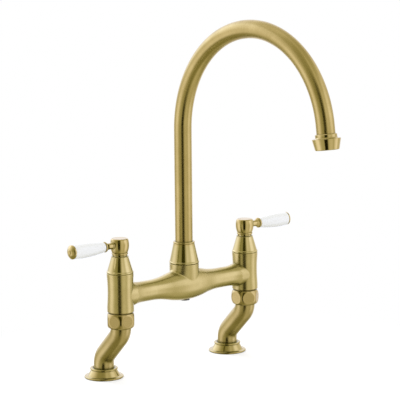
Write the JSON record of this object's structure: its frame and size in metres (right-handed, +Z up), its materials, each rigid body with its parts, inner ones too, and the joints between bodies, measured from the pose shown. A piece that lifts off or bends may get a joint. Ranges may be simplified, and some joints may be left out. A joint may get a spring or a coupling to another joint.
{
  "type": "bridge kitchen faucet",
  "caption": "Deck-mounted bridge kitchen faucet in brushed antique brass: swivelling gooseneck spout, bellied bridge, white ceramic lever handles and cranked legs on round flanges.",
  "frame": {"origin": "on the deck, midway between the two inlets", "axes": "+Z up, +X along the bridge to the right-hand valve as the user sees it, -Y towards the user, where the spout points at rest"},
  "size_m": [0.351, 0.318, 0.4318],
  "materials": {
    "polished_brass": "fine-brushed antique brass, semi-gloss",
    "brushed_brass": "brushed antique brass, satin",
    "machined_brass": "as turned",
    "white_ceramic": "clear gloss glaze",
    "valve_ceramic": "lapped",
    "stainless_steel": "plain",
    "seal_rubber": "matt",
    "bush_plastic": "natural acetal",
    "aerator_plastic": "plain moulded"
  },
  "bodies": {
    "root": {"left_deck_seal": "seal_rubber", "left_deck_flange": "polished_brass", "left_leg": "brushed_brass", "left_union_nut": "polished_brass", "left_union_washer": "seal_rubber", "left_pillar": "brushed_brass", "left_seat_seal": "seal_rubber", "left_fixed_disc": "valve_ceramic", "left_cartridge_body": "machined_brass", "left_shroud": "polished_brass", "right_deck_seal": "seal_rubber", "right_deck_flange": "polished_brass", "right_leg": "brushed_brass", "right_union_nut": "polished_brass", "right_union_washer": "seal_rubber", "right_pillar": "brushed_brass", "right_seat_seal": "seal_rubber", "right_fixed_disc": "valve_ceramic", "right_cartridge_body": "machined_brass", "right_shroud": "polished_brass", "bridge": "brushed_brass", "swivel_bush": "bush_plastic"},
    "left_handle": {"left_moving_disc": "valve_ceramic", "left_spindle": "machined_brass", "left_hub_ring": "polished_brass", "left_hub": "polished_brass", "left_hub_screw": "stainless_steel", "left_hub_cap": "polished_brass", "left_lever_neck": "polished_brass", "left_ceramic_lever": "white_ceramic", "left_end_cap": "polished_brass"},
    "right_handle": {"right_moving_disc": "valve_ceramic", "right_spindle": "machined_brass", "right_hub_ring": "polished_brass", "right_hub": "polished_brass", "right_hub_screw": "stainless_steel", "right_hub_cap": "polished_brass", "right_lever_neck": "polished_brass", "right_ceramic_lever": "white_ceramic", "right_end_cap": "polished_brass"},
    "spout": {"spout_spigot": "machined_brass", "spout_seals": "seal_rubber", "spout_screw": "stainless_steel", "spout_collar": "polished_brass", "spout_tube": "brushed_brass", "nozzle": "polished_brass", "aerator_washer": "seal_rubber", "aerator": "aerator_plastic"}
  },
  "joints": [
    {"name": "spout_swivel", "type": "hinge", "parent": "root", "child": "spout", "pos_m": [0, -0.034, 0.15], "axis": [0, 0, 1], "continuous": true},
    {"name": "left_valve", "type": "hinge", "parent": "root", "child": "left_handle", "pos_m": [-0.1, -0.034, 0.16], "axis": [0, 0, 1], "range_deg": [0, 90]},
    {"name": "right_valve", "type": "hinge", "parent": "root", "child": "right_handle", "pos_m": [0.1, -0.034, 0.16], "axis": [0, 0, -1], "range_deg": [0, 90]}
  ]
}
